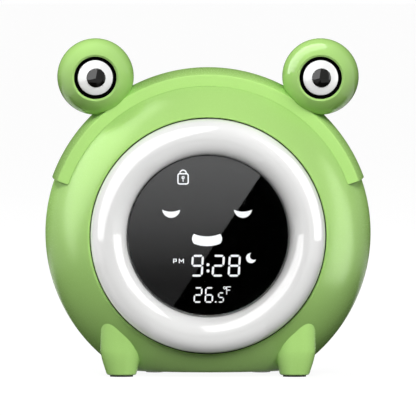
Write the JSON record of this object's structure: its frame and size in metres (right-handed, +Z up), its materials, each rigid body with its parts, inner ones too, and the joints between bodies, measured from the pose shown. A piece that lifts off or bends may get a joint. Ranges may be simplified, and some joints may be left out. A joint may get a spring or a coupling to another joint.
{
  "type": "alarm clock with night light",
  "caption": "Round frog-shaped bedside alarm clock with a night-light ring, dark lit display, ball eyes on a hood band, and rear buttons and battery bay.",
  "frame": {"origin": "centre of the bounding box on the ground plane", "axes": "+Z up, the display faces -Y, +X to the right as seen from the front"},
  "size_m": [0.1354, 0.064, 0.1404],
  "materials": {
    "green_plastic": "satin moulded",
    "ring_plastic": "translucent, glossy",
    "screen_glass": "smoked, glossy",
    "mask_film": "matt black",
    "lit_symbols": "lit white",
    "eye_black": "satin black",
    "eye_white": "glossy",
    "pupil_black": "glossy black",
    "inner_plastic": "moulded white",
    "button_plastic": "satin moulded",
    "circuit_board": "solder mask",
    "led_body": "epoxy",
    "black_parts": "moulded black",
    "rubber_pad": "soft matt",
    "screw_steel": "zinc plated",
    "contact_steel": "nickel plated",
    "cell_jacket": "printed sleeve, plain",
    "speaker_paper": "pressed paper",
    "ribbon": "grey ribbon"
  },
  "bodies": {
    "case": {"front_shell": "green_plastic", "rear_shell": "green_plastic", "hood_band": "green_plastic", "left_eye_front": "green_plastic", "right_eye_front": "green_plastic", "left_eye_back": "green_plastic", "right_eye_back": "green_plastic", "left_eye_cup": "eye_black", "right_eye_cup": "eye_black", "left_eye_white": "eye_white", "right_eye_white": "eye_white", "left_pupil": "pupil_black", "right_pupil": "pupil_black", "light_ring": "ring_plastic", "display_lens": "screen_glass", "display_mask": "mask_film", "time_segments": "lit_symbols", "temperature_segments": "lit_symbols", "face_symbols": "lit_symbols", "status_symbols": "lit_symbols", "light_carrier": "inner_plastic", "ring_board": "circuit_board", "ring_leds": "led_body", "display_board": "circuit_board", "display_leds": "led_body", "clock_chip": "black_parts", "control_board": "circuit_board", "tact_switches": "black_parts", "ribbon_headers": "black_parts", "ribbon_cable": "ribbon", "speaker_frame": "screw_steel", "speaker_cone": "speaker_paper", "speaker_magnet": "contact_steel", "usb_socket": "contact_steel", "usb_board": "circuit_board", "battery_springs": "contact_steel", "contact_plates": "contact_steel", "front_pads": "rubber_pad", "rear_pads": "rubber_pad", "case_screws": "screw_steel", "carrier_screws": "screw_steel", "board_screws": "screw_steel", "hood_screws": "screw_steel", "eye_screws": "screw_steel"},
    "battery_door": {"battery_door": "green_plastic", "door_screw": "screw_steel"},
    "cell_1": {"cell_1": "cell_jacket"},
    "cell_2": {"cell_2": "cell_jacket"},
    "cell_3": {"cell_3": "cell_jacket"},
    "time_button": {"time_button": "button_plastic"},
    "alarm_button": {"alarm_button": "button_plastic"},
    "sound_button": {"sound_button": "button_plastic"},
    "light_button": {"light_button": "button_plastic"},
    "up_button": {"up_button": "button_plastic"},
    "down_button": {"down_button": "button_plastic"}
  },
  "joints": [
    {"name": "time_press", "type": "slide", "parent": "case", "child": "time_button", "axis": [0, -1, 0], "range_m": [0, 0.0008], "stiffness_N_per_m": 600},
    {"name": "alarm_press", "type": "slide", "parent": "case", "child": "alarm_button", "axis": [0, -1, 0], "range_m": [0, 0.0008], "stiffness_N_per_m": 600},
    {"name": "sound_press", "type": "slide", "parent": "case", "child": "sound_button", "axis": [0, -1, 0], "range_m": [0, 0.0008], "stiffness_N_per_m": 600},
    {"name": "light_press", "type": "slide", "parent": "case", "child": "light_button", "axis": [0, -1, 0], "range_m": [0, 0.0008], "stiffness_N_per_m": 600},
    {"name": "up_press", "type": "slide", "parent": "case", "child": "up_button", "axis": [0, -1, 0], "range_m": [0, 0.0008], "stiffness_N_per_m": 600},
    {"name": "down_press", "type": "slide", "parent": "case", "child": "down_button", "axis": [0, -1, 0], "range_m": [0, 0.0008], "stiffness_N_per_m": 600},
    {"name": "door_slide", "type": "slide", "parent": "case", "child": "battery_door", "axis": [0, 1, 0], "range_m": [0, 0.045]},
    {"name": "cell_1_lift", "type": "slide", "parent": "case", "child": "cell_1", "axis": [0, 1, 0], "range_m": [0, 0.0225]},
    {"name": "cell_2_lift", "type": "slide", "parent": "case", "child": "cell_2", "axis": [0, 1, 0], "range_m": [0, 0.0225]},
    {"name": "cell_3_lift", "type": "slide", "parent": "case", "child": "cell_3", "axis": [0, 1, 0], "range_m": [0, 0.0225]}
  ],
  "couplings": [
    {"joint": "cell_1_lift", "follows": "door_slide", "ratio": 0.5},
    {"joint": "cell_2_lift", "follows": "door_slide", "ratio": 0.5},
    {"joint": "cell_3_lift", "follows": "door_slide", "ratio": 0.5}
  ]
}
